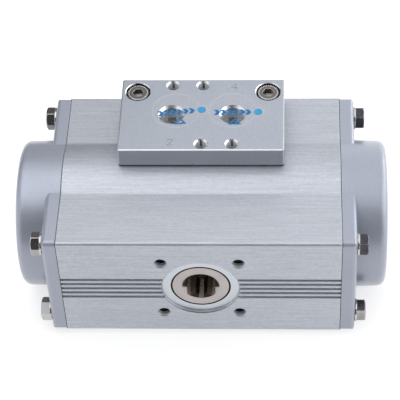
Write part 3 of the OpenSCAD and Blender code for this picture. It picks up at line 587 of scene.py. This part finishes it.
# parts of a face's normal: below the first it's a wall, above the last it's flat
wallTilt, slantTilt, keyTilt, levelTilt, flatTilt = 0.3, 0.5, 0.9, 0.95, 0.99


def isWall(part):
    return abs(part) < wallTilt


def near(u, v, centres, radius):
    return any(math.hypot(u - a, v - b) < radius for a, b in centres)


def inMetres(sizes):
    return {key: value * mm for key, value in sizes.items()}


# radii and half widths, and depths from the valve face where each zone starts and ends
housingZones = inMetres({
    "gap": 11.9, "gapStart": 1.35, "gapEnd": 12, "recess": 15.4, "recessEnd": 1.5,
    "grooveWidth": 6.2, "grooveLength": 53.9, "grooveStart": 0.02, "grooveEnd": 1.0,
    "hole": 2.75, "flangeEnd": 11, "accessoryStart": 66,
})


def housingFace(c, n):
    zone = housingZones
    radius = math.hypot(c.x, c.z)
    if radius < zone["gap"] and zone["gapStart"] < c.y < zone["gapEnd"]:
        return sealRubberAndGapShade  # bore wall painted black: painted shade in the gap round the shaft
    if radius < zone["recess"] and c.y < zone["recessEnd"]:
        # recess wall and chamfer in lighter and darker copies: painted light and painted shade
        if isWall(n.y):
            return recessWallLight
        return recessEdgeShade if abs(n.y) < levelTilt else recessTurned
    # grooves in a lighter copy of the housing's colour: painted light
    inGrooves = abs(c.z) < zone["grooveWidth"] and abs(c.x) < zone["grooveLength"]
    if inGrooves and zone["grooveStart"] < c.y < zone["grooveEnd"]:
        return grooveBright
    inFlange = c.y < zone["flangeEnd"] and near(c.x, c.z, faceHoles["flange"], zone["hole"])
    inAccessory = c.y > zone["accessoryStart"] and near(c.x, c.z, faceHoles["accessory"], zone["hole"])
    return tappedGrey if isWall(n.y) and (inFlange or inAccessory) else housingBrushed


# hole radii, and depths below the plate's top
plateZones = inMetres({"valve": 2.75, "port": 5.25, "counterbore": 5.15, "topEnd": 0.1, "edgeEnd": 0.6})
reflectionStripe = {"valve": 0.25, "port": 0.4}  # half widths of the painted dark reflection on hole walls, as shares of the radius


def plateFace(c, n):
    zone = plateZones
    if n.z > flatTilt and c.z > plateTop - zone["topEnd"]:
        return plateBlasted
    for kind, halfWidth in reflectionStripe.items():
        if near(c.x, c.y, faceHoles[kind], zone[kind]):
            if not isWall(n.z):
                return boredBright
            return holeDarkReflection if abs(n.x) < halfWidth else flankBrightAndKeyGlint  # painted dark reflection down the middle of the wall
    # counterbore wall in the shaded bolt steel: painted shadow
    if near(c.x, c.y, faceHoles["counterbore"], zone["counterbore"]):
        return boredBright if n.z > wallTilt else shadedBoltSteel
    # chamfers in a lighter copy of the plate's colour: painted highlight
    if c.z > plateTop - zone["edgeEnd"] and wallTilt < n.z < flatTilt:
        return plateEdgeHighlight
    # sides in a lighter copy of the plate's colour: painted light
    return plateSide if isWall(n.z) else plateBlasted


# radii and one half width, and depths from the valve face
shaftZones = inMetres({
    "rim": 10.9, "rimEnd": 6, "socket": 7.95, "socketStart": 1.35, "socketEnd": 17, "mouthEnd": 2.8,
    "starEnd": 10.6, "tip": 6.9, "middle": 2.2,
})


def shaftFace(c, n):
    zone = shaftZones
    radius = math.hypot(c.x, c.z)
    # shaft's side painted black: painted shade in the gap round it
    if radius > zone["rim"] and c.y < zone["rimEnd"] and abs(n.y) < levelTilt:
        return sealRubberAndGapShade
    inside = radius < zone["socket"] and zone["socketStart"] < c.y < zone["socketEnd"]
    if inside and c.y < zone["mouthEnd"] and n.y < -slantTilt:
        if n.z > slantTilt:
            return mouthShade  # painted shade on the lower side of the mouth
        # upper side in the socket's dark colour: painted shade
        return socketOiled if n.z < 0 else shaftTurned
    if inside and zone["mouthEnd"] < c.y < zone["starEnd"] and c.z < 0:
        if radius > zone["tip"]:
            return socketTipHighlight  # painted highlight on the rounded tips of the star
        # painted shade on the middle of the star's lower side
        if abs(c.x) < zone["middle"]:
            return socketShade
    return socketOiled if inside else shaftTurned


keyZone = inMetres({"radius": 2.4, "start": 0.05, "end": 2.6})  # depths below the head's top


def headFace(c, n):
    inKey = headTop - keyZone["end"] < c.z < headTop - keyZone["start"]
    if not inKey or not near(c.x, c.y, faceHoles["counterbore"], keyZone["radius"]):
        return headSteel
    # painted glint on the keyway's floor
    if n.z > keyTilt:
        return flankBrightAndKeyGlint
    return socketOiled if n.x < -wallTilt else socketShade  # painted shade on all but the right walls


boltTilt = {"front": 0.7, "top": 0.85}


def leftBoltFace(c, n):
    if c.z > 0 or n.y > -slantTilt or abs(n.z) > boltTilt["top"]:
        return boltSteel
    return washerSteel if n.z < boltTilt["front"] else threadDull  # painted light on the lower ones' front flats


def rightBoltFace(c, n):
    return shadedBoltSteel if c.z > 0 or n.z > slantTilt else boltSteel  # painted shade on the upper bolts and on the lower ones' upward faces


facePicks = {
    "housing": housingFace, "air_plate": plateFace, "pinion_shaft": shaftFace, "air_plate_screws": headFace,
    "left_cap_screws": leftBoltFace, "right_cap_screws": rightBoltFace,
}
for nodeName, finishes in nodeFinish.items():
    mesh = nodes[nodeName].data
    mesh.materials.clear()
    for finish in finishes:
        mesh.materials.append(finish)
    if nodeName in facePicks:
        for poly in mesh.polygons:
            poly.material_index = finishes.index(facePicks[nodeName](poly.center, poly.normal))
print("frame dressed")


# small pieces on the frame

sharpAngle = math.radians(35)


def addPiece(name, shape, material, body="actuator_body"):
    points, faces = shape
    mesh = bpy.data.meshes.new(name)
    mesh.from_pydata([tuple(p) for p in points], [], faces)
    work = bmesh.new()
    work.from_mesh(mesh)
    bmesh.ops.recalc_face_normals(work, faces=work.faces)
    work.to_mesh(mesh)
    work.free()
    for poly in mesh.polygons:
        poly.use_smooth = True
    mesh.set_sharp_from_angle(angle=sharpAngle)
    mesh.materials.append(material)
    piece = bpy.data.objects.new(name, mesh)
    bpy.context.scene.collection.objects.link(piece)
    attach(piece, body)


def mergeShapes(shapes):
    points, faces = [], []
    for somePoints, someFaces in shapes:
        start = len(points)
        points += somePoints
        faces += [tuple(start + i for i in face) for face in someFaces]
    return points, faces


# closed bar through a row of equal sections
def skin(sections):
    count = len(sections[0])
    points = [p for section in sections for p in section]
    faces = []
    for i in range(len(sections) - 1):
        for j in range(count):
            a, b = i * count + j, i * count + (j + 1) % count
            faces.append((a, b, b + count, a + count))
    last = (len(sections) - 1) * count
    faces.append(tuple(range(count)))
    faces.append(tuple(last + j for j in reversed(range(count))))
    return points, faces


threads = {
    "flange": {"wall": 2.1, "crest": 1.94, "pitch": 0.8, "start": 0.9, "end": 9.2, "segments": 24},
    "accessory": {"wall": 2.1, "crest": 1.94, "pitch": 0.8, "start": 0.9, "end": 7.2, "segments": 24},
    "valve": {"wall": 2.1, "crest": 1.92, "pitch": 0.8, "start": 3.6, "end": 6.8, "segments": 24},
    "port": {"wall": 4.285, "crest": 4.14, "pitch": 0.907, "start": 2.6, "end": 6.3, "segments": 36},
    "shaft": {"wall": 2.5, "crest": 2.2, "pitch": 1.0, "start": 4.8, "end": 10.8, "segments": 24},
}
threadForm = {"sunk": 0.05, "rootHalf": 0.44, "crestHalf": 0.07, "thinnest": 0.08}  # halves in pitches


def threadRidge(t, mouth, inward):
    inward = Vector(inward)
    side = inward.orthogonal().normalized()
    other = inward.cross(side)
    steps = int((t["end"] - t["start"]) / t["pitch"] * t["segments"])
    root = t["wall"] + threadForm["sunk"]
    foot, top = threadForm["rootHalf"], threadForm["crestHalf"]
    sections = []
    for i in range(steps + 1):
        turn = i / t["segments"]
        left = (steps - i) / t["segments"]
        fade = max(threadForm["thinnest"], min(1, 2 * turn, 2 * left))  # runs out over half a turn
        crest = root + (t["crest"] - root) * fade
        angle = 2 * math.pi * i / t["segments"]
        depth = t["start"] + t["pitch"] * i / t["segments"]
        out = side * math.cos(angle) + other * math.sin(angle)
        profile = ((root, -foot), (crest, -top), (crest, top), (root, foot))
        sections.append([
            Vector(mouth) + (inward * (depth + s * t["pitch"]) + out * r) * mm for r, s in profile
        ])
    return skin(sections)


def addThreads(kind, name, mouths, inward, material, body="actuator_body"):
    ridges = [threadRidge(threads[kind], mouth, inward) for mouth in mouths]
    addPiece(name, mergeShapes(ridges), material, body)


frontMouths = [(x, 0, z) for x, z in faceHoles["flange"]]
backMouths = [(x, backY * mm, z) for x, z in faceHoles["accessory"]]
valveMouths = [(x, y, plateTop) for x, y in faceHoles["valve"]]
portMouths = [(x, y, plateTop) for x, y in faceHoles["port"]]
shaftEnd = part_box("pinion_shaft")[1].y
addThreads("flange", "flange_threads", frontMouths, (0, 1, 0), tappedGrey)
addThreads("accessory", "accessory_threads", backMouths, (0, -1, 0), tappedGrey)
addThreads("valve", "valve_threads", valveMouths, (0, 0, -1), threadDull)
addThreads("port", "port_threads", portMouths, (0, 0, -1), threadDull)
addThreads("shaft", "shaft_thread", [(0, shaftEnd, 0)], (0, -1, 0), tappedGrey, "pinion")
print("threads cut")

knurl = {  # heights from the plate's top, share of the ring that ridges fill
    "ridges": 36, "root": 3.5, "tip": 4.34, "low": -5.2, "high": -0.46, "share": 0.62,
}


def headKnurl(k, x, y):
    ridges = []
    half = math.pi / k["ridges"] * k["share"]
    for i in range(k["ridges"]):
        middle = 2 * math.pi * i / k["ridges"]
        corners = ((k["root"], middle - half), (k["tip"], middle), (k["root"], middle + half))
        ring = [(x + r * mm * math.cos(a), y + r * mm * math.sin(a)) for r, a in corners]
        ends = [[Vector((u, v, plateTop + z * mm)) for u, v in ring] for z in (k["low"], k["high"])]
        ridges.append(skin(ends))
    return mergeShapes(ridges)


knurls = mergeShapes([headKnurl(knurl, *spot) for spot in faceHoles["counterbore"]])
addPiece("socket_head_knurls", knurls, boredBright)
print("knurls made")

# clear dust films over the ports
film = {
    "radius": 9.3, "tab": (9.9, -0.8, 2.5), "low": 0.01, "high": 0.06, "rings": 6, "spokes": 96,
    "places": {"left": (-10.3, 58.75, 7.0), "right": (11.9, 58.7, 0.5)},  # x, y and turn
    "dark": (0.88, 0.90, 0.92), "light": (0.94, 0.95, 0.97), "grain": 900, "blotch": 160,
    "rough": (0.12, 0.26), "edge": 0.25 * mm, "edgeGain": 3.0, "clear": 0.03, "rim": 0.7,
    "bump": 0.3, "depth": 0.2 * mm,
}
filmMarks = {
    "chevrons": 6, "start": -7.3, "step": 2.45, "height": 2.7, "point": 1.1, "stroke": 1.4, "level": -0.85,
    "dot": (10.1, -0.8, 1.65), "dotSides": 40, "low": 0.05, "high": 0.08,
    "triangle": (1.0, -6.0), "triangleShape": ((-1, -0.6), (1, -0.6), (0, 0.8)),
    "triangleSize": 2.5, "triangleStroke": 0.55,
    "ink": ((0.002, 0.15, 0.42), (0.006, 0.19, 0.48)), "dotInk": ((0.04, 0.33, 0.60), (0.06, 0.37, 0.64)),
}
ink = {
    "grain": 2600, "blotch": 500, "rough": (0.35, 0.5), "shine": 0.25, "bump": 0.1, "depth": 0.02 * mm,
}


def filmMaterial(s):
    material, tree, shader, place = startMaterial("filmClear")
    grain = useGroup(tree, castGrain, place, Grain=s["grain"], Blotch=s["blotch"]).outputs
    edge = useGroup(tree, softEdge, Radius=s["edge"], Gain=s["edgeGain"]).outputs
    join(tree, mixColour(tree, grain["Blotch"], s["dark"], s["light"]), shader.inputs["Base Color"])
    join(tree, remap(tree, grain["Blotch"], 0, 1, *s["rough"]), shader.inputs["Roughness"])
    join(tree, remap(tree, edge["Mask"], 0, 1, s["clear"], s["rim"]), shader.inputs["Alpha"])
    addBump(tree, shader, grain["Blotch"], s["bump"], s["depth"])
    return material


def inkMaterial(name, dark, light):
    material, tree, shader, place = startMaterial(name)
    grain = useGroup(tree, castGrain, place, Grain=ink["grain"], Blotch=ink["blotch"]).outputs
    join(tree, mixColour(tree, grain["Blotch"], dark, light), shader.inputs["Base Color"])
    join(tree, remap(tree, grain["Speck"], 0, 1, *ink["rough"]), shader.inputs["Roughness"])
    shader.inputs["Specular IOR Level"].default_value = ink["shine"]
    addBump(tree, shader, grain["Height"], ink["bump"], ink["depth"])
    return material


# film plane to the plate's top
def onFilm(place, u, v, z):
    x, y, turn = place
    c, n = math.cos(math.radians(turn)), math.sin(math.radians(turn))
    return Vector(((x + u * c - v * n) * mm, (y + u * n + v * c) * mm, plateTop + z * mm))


# outline of the disc with its tab
def filmReach(s, angle):
    u, v, r = s["tab"]
    along = u * math.cos(angle) + v * math.sin(angle)
    gap = along ** 2 - (u * u + v * v - r * r)
    return max(s["radius"], along + math.sqrt(gap)) if gap > 0 and along > 0 else s["radius"]


def filmSheet(s, place):
    outline = [2 * math.pi * i / s["spokes"] for i in range(s["spokes"])]
    points, faces = [], []
    for z in (s["low"], s["high"]):
        points.append(onFilm(place, 0, 0, z))
        for ring in range(1, s["rings"] + 1):
            for a in outline:
                r = filmReach(s, a) * ring / s["rings"]
                points.append(onFilm(place, r * math.cos(a), r * math.sin(a), z))
    side = 1 + s["rings"] * s["spokes"]
    rim = 1 + (s["rings"] - 1) * s["spokes"]
    for layer in (0, side):
        for i in range(s["spokes"]):
            n = (i + 1) % s["spokes"]
            faces.append((layer, layer + 1 + i, layer + 1 + n))
            for ring in range(s["rings"] - 1):
                a = layer + 1 + ring * s["spokes"]
                faces.append((a + i, a + s["spokes"] + i, a + s["spokes"] + n, a + n))
    for i in range(s["spokes"]):
        n = (i + 1) % s["spokes"]
        faces.append((rim + i, rim + n, side + rim + n, side + rim + i))
    return points, faces


def inkPatch(m, place, outline):
    return skin([[onFilm(place, u, v, z) for u, v in outline] for z in (m["low"], m["high"])])


def inkDot(m, place):
    u, v, r = m["dot"]
    turns = [2 * math.pi * i / m["dotSides"] for i in range(m["dotSides"])]
    return inkPatch(m, place, [(u + r * math.cos(a), v + r * math.sin(a)) for a in turns])


def inkShapes(m, place):
    shapes = []
    v, h, w, p = m["level"], m["height"] / 2, m["stroke"], m["point"]
    for i in range(m["chevrons"]):
        u = m["start"] + i * m["step"]
        outline = [(u, v - h), (u + w, v - h), (u + w + p, v), (u + w, v + h), (u, v + h), (u + p, v)]
        shapes.append(inkPatch(m, place, outline))
    u, v = m["triangle"]
    outer = [(u + m["triangleSize"] * a, v + m["triangleSize"] * b) for a, b in m["triangleShape"]]
    share = 1 - 2 * m["triangleStroke"] / m["triangleSize"]
    inner = [(u + (a - u) * share, v + (b - v) * share) for a, b in outer]
    for i in range(3):
        n = (i + 1) % 3
        shapes.append(inkPatch(m, place, [outer[i], outer[n], inner[n], inner[i]]))
    return mergeShapes(shapes)


filmClear = filmMaterial(film)
filmInk = inkMaterial("filmInk", *filmMarks["ink"])
dotInk = inkMaterial("dotInk", *filmMarks["dotInk"])
for sideName, place in film["places"].items():
    addPiece(sideName + "_port_film", filmSheet(film, place), filmClear)
    addPiece(sideName + "_film_mark", inkShapes(filmMarks, place), filmInk)
    addPiece(sideName + "_film_dot", inkDot(filmMarks, place), dotInk)
print("films laid")

# plain port numbers on the plate
portNumbers = {
    "width": 0.26, "low": -0.02, "high": 0.015, "longest": 1.6, "sharpest": 0.3,  # how far a corner grows
    "ink": ((0.22, 0.18, 0.18), (0.28, 0.235, 0.235)),
    "two": {
        "at": (-13.0, 40.2),
        "path": [
            (0.1, 2.3), (0.3, 2.8), (0.9, 3.1), (1.5, 3.05), (1.95, 2.65), (1.95, 2.15), (1.6, 1.6),
            (0, 0), (2.1, 0),
        ],
    },
    "four": {"at": (11.2, 70.5), "path": [(1.8, 0), (1.8, 3.1), (0, 0.95), (2.4, 0.95)]},
}


# flat stroke of one width along a digit's path
def digitStroke(s, digit):
    path = [Vector(p) for p in digit["path"]]
    place = (*digit["at"], 0)
    sections = []
    for i, p in enumerate(path):
        into = (p - path[i - 1]).normalized() if i else None
        away = (path[i + 1] - p).normalized() if i < len(path) - 1 else None
        along = ((into or away) + (away or into)).normalized()
        grow = min(s["longest"], 1 / max(s["sharpest"], along.dot(into or away)))
        across = Vector((-along.y, along.x)) * s["width"] / 2 * grow
        a, b = p + across, p - across
        corners = ((a, s["low"]), (b, s["low"]), (b, s["high"]), (a, s["high"]))
        sections.append([onFilm(place, q.x, q.y, z) for q, z in corners])
    return skin(sections)


numberInk = inkMaterial("numberInk", *portNumbers["ink"])
for word in ("two", "four"):
    addPiece("port_number_" + word, digitStroke(portNumbers, portNumbers[word]), numberInk)
print("port numbers drawn")


# camera, floor, lamps

cameraSettings = {  # focal length in pixels, place in millimetres
    "focal": 1754.77, "pixels": 400, "sensor": 36, "near": 0.01,
    "yaw": 4.4182, "pitch": 48.2293, "roll": -3.2550, "place": (34.5169, -424.6932, 528.4144),
}


def makeCamera(s):
    yaw, pitch, roll = (math.radians(s[k]) for k in ("yaw", "pitch", "roll"))
    back = Vector((math.sin(yaw) * math.cos(pitch), -math.cos(yaw) * math.cos(pitch), math.sin(pitch)))
    right = (-back).cross(Vector((0, 0, 1))).normalized()
    up = right.cross(-back)
    side = right * math.cos(roll) + up * math.sin(roll)
    top = up * math.cos(roll) - right * math.sin(roll)
    data = bpy.data.cameras.new("camera")
    data.sensor_width = s["sensor"]
    data.lens = s["focal"] * s["sensor"] / s["pixels"]
    data.clip_start = s["near"]
    camera = bpy.data.objects.new("camera", data)
    rows = [(side[i], top[i], back[i], s["place"][i] * mm) for i in range(3)]
    camera.matrix_world = Matrix((*rows, (0, 0, 0, 1)))
    bpy.context.scene.collection.objects.link(camera)
    bpy.context.scene.camera = camera


makeCamera(cameraSettings)

studio = {
    "floor": 0.6, "floorGlow": 0.6, "floorSize": 8, "ambient": 0.65, "centre": (0, boreY * mm, 0),
    "lamps": [
        {"name": "overhead", "place": (-0.45, 0.05, 1.5), "size": (1.6, 1.0), "power": 5.8},
        {"name": "rightKey", "place": (1.6, 0.05, 0.75), "size": (1.5, 1.3), "power": 8.5},
        {"name": "backRight", "place": (1.25, 1.0, 0.15), "size": (0.9, 0.6), "power": 4.5},
        {"name": "backFill", "place": (0.15, 1.5, 0.5), "size": (1.6, 0.8), "power": 6.0, "matt": True},
    ],
    "cards": [  # dark cards that only the metal reflects
        {
            "name": "frontCard", "place": (0.0, -1.30, 0.85), "aim": (0, 0, 0.85), "size": (3.2, 1.75),
            "shade": 0.12,
        },
        {
            "name": "cameraCard", "place": (0.045, -0.60, 0.72), "aim": (0, 0.04, 0), "size": (0.5, 0.35),
            "shade": 0.03,
        },
        {
            "name": "backCard", "place": (-0.55, 0.25, 0.10), "aim": (-0.55, 0, 0.10), "size": (1.0, 0.26),
            "shade": 0.22,
        },
    ],
}


def makePanel(name, width, height, matrix):
    mesh = bpy.data.meshes.new(name)
    w, h = width / 2, height / 2
    mesh.from_pydata([(-w, -h, 0), (w, -h, 0), (w, h, 0), (-w, h, 0)], [], [(0, 1, 2, 3)])
    panel = bpy.data.objects.new(name, mesh)
    panel.matrix_world = matrix
    bpy.context.scene.collection.objects.link(panel)
    return panel


def aimed(place, target):
    turn = (Vector(target) - Vector(place)).to_track_quat("-Z", "Y").to_matrix().to_4x4()
    return Matrix.Translation(place) @ turn


# one for what the camera, shine and clear film see, none for soft light
def seenMask(tree):
    path = addNode(tree, "ShaderNodeLightPath")
    seen = mathNode(tree, "MAXIMUM", path.outputs["Is Camera Ray"], path.outputs["Is Glossy Ray"])
    return mathNode(tree, "MAXIMUM", seen, path.outputs["Is Transmission Ray"])


def makeFloor(s):
    floor = makePanel("floor", s["floorSize"], s["floorSize"], Matrix.Translation((0, 0, cadLow.z)))
    material = bpy.data.materials.new("floorPaper")
    tree, output = emptyTree(material, "ShaderNodeOutputMaterial")
    paper = addNode(tree, "ShaderNodeBsdfDiffuse")
    paper.inputs["Color"].default_value = (s["floor"], s["floor"], s["floor"], 1)
    glow = addNode(tree, "ShaderNodeEmission")
    join(tree, mathNode(tree, "MULTIPLY", seenMask(tree), s["floorGlow"]), glow.inputs["Strength"])
    both = addNode(tree, "ShaderNodeAddShader")
    join(tree, paper.outputs[0], both.inputs[0])
    join(tree, glow.outputs[0], both.inputs[1])
    join(tree, both.outputs[0], output.inputs["Surface"])
    floor.data.materials.append(material)


def makeCard(card):
    panel = makePanel(card["name"], *card["size"], aimed(card["place"], card["aim"]))
    panel.visible_camera = False
    panel.visible_diffuse = False
    panel.visible_shadow = False
    material = bpy.data.materials.new(card["name"])
    tree, output = emptyTree(material, "ShaderNodeOutputMaterial")
    glow = addNode(tree, "ShaderNodeEmission")
    glow.inputs["Color"].default_value = (card["shade"], card["shade"], card["shade"], 1)
    join(tree, glow.outputs[0], output.inputs["Surface"])
    panel.data.materials.append(material)


def makeLamp(lamp, target):
    data = bpy.data.lights.new(lamp["name"], "AREA")
    data.shape = "RECTANGLE"
    data.size, data.size_y = lamp["size"]
    data.energy = lamp["power"]
    light = bpy.data.objects.new(lamp["name"], data)
    light.visible_glossy = not lamp.get("matt")  # a matt lamp leaves no shine on the metal
    light.matrix_world = aimed(lamp["place"], target)
    bpy.context.scene.collection.objects.link(light)


def makeSky(s):
    world = bpy.data.worlds.new("studio")
    tree, output = emptyTree(world, "ShaderNodeOutputWorld")
    sky = addNode(tree, "ShaderNodeBackground")
    sky.inputs["Color"].default_value = (1, 1, 1, 1)
    join(tree, remap(tree, seenMask(tree), 0, 1, s["ambient"], 1.0), sky.inputs["Strength"])
    join(tree, sky.outputs[0], output.inputs["Surface"])
    bpy.context.scene.world = world


makeFloor(studio)
for card in studio["cards"]:
    makeCard(card)
for lamp in studio["lamps"]:
    makeLamp(lamp, studio["centre"])
makeSky(studio)
bpy.context.scene.view_settings.view_transform = "Standard"
print("studio made")
